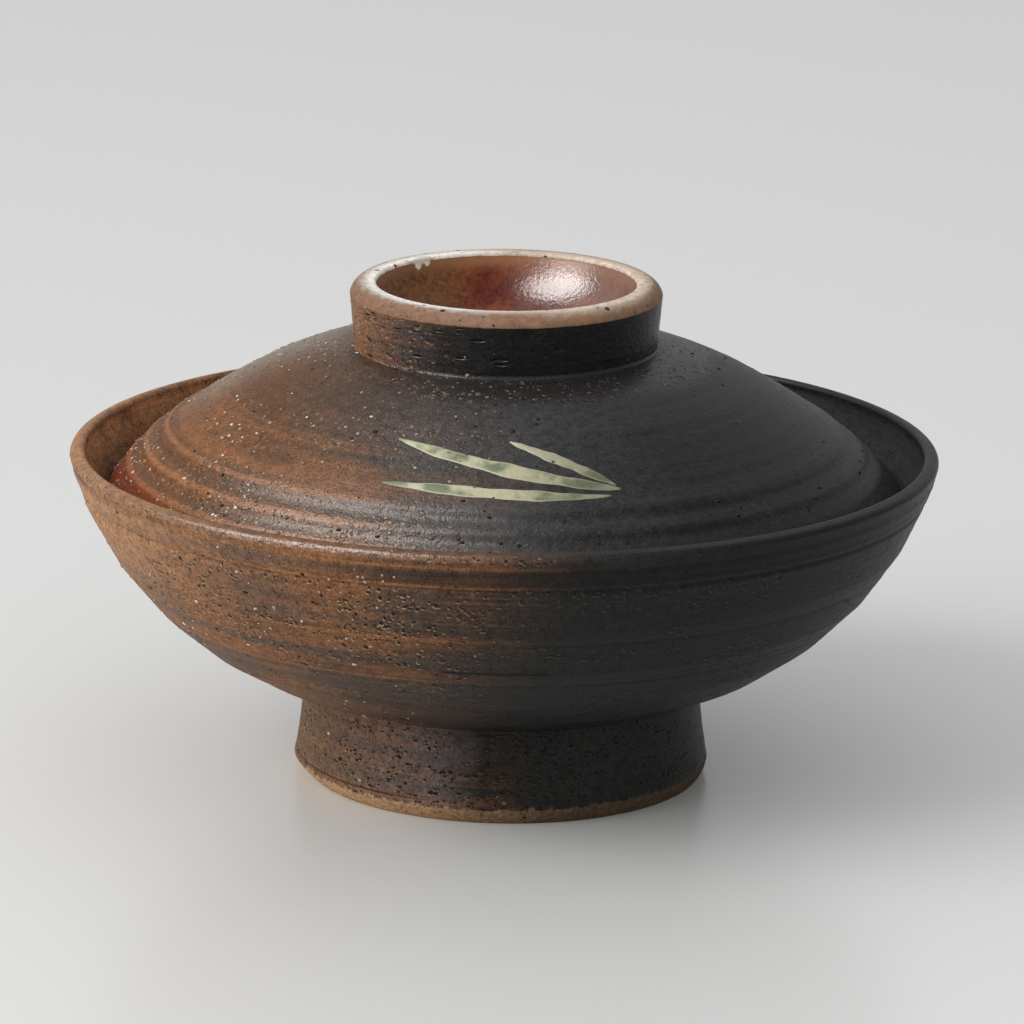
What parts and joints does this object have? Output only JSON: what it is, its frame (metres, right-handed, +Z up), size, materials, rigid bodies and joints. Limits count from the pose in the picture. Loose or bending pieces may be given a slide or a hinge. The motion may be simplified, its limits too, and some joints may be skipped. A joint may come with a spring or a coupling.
{
  "type": "lidded footed bowl",
  "caption": "Wheel-thrown stoneware bowl with a flared wall on a tall foot ring, closed by a domed drop-in lid with a ring-shaped grip.",
  "frame": {"origin": "centre of the foot ring's underside, on the surface that the bowl stands on", "axes": "+Z up along the turning axis of bowl and lid; +X to the right and -Y towards the viewer of the picture"},
  "size_m": [0.168, 0.168, 0.0977],
  "materials": {
    "bowl": "matte iron-brown stoneware with a fire-flash from orange-brown to charcoal",
    "foot_ring": "matte brown stoneware, bare tan clay at the lower edge",
    "lid": "satin dark-brown stoneware with a pale ash-glaze brush motif",
    "lid_ring": "dark wall, bare tan rim and a glossy amber glazed well"
  },
  "bodies": {
    "bowl_body": {"bowl": "bowl", "foot_ring": "foot_ring"},
    "lid_body": {"lid": "lid", "lid_ring": "lid_ring"}
  },
  "joints": [
    {"name": "lid_lift", "type": "slide", "parent": "bowl_body", "child": "lid_body", "axis": [0, 0, 1], "range_m": [0, 0.1]}
  ]
}
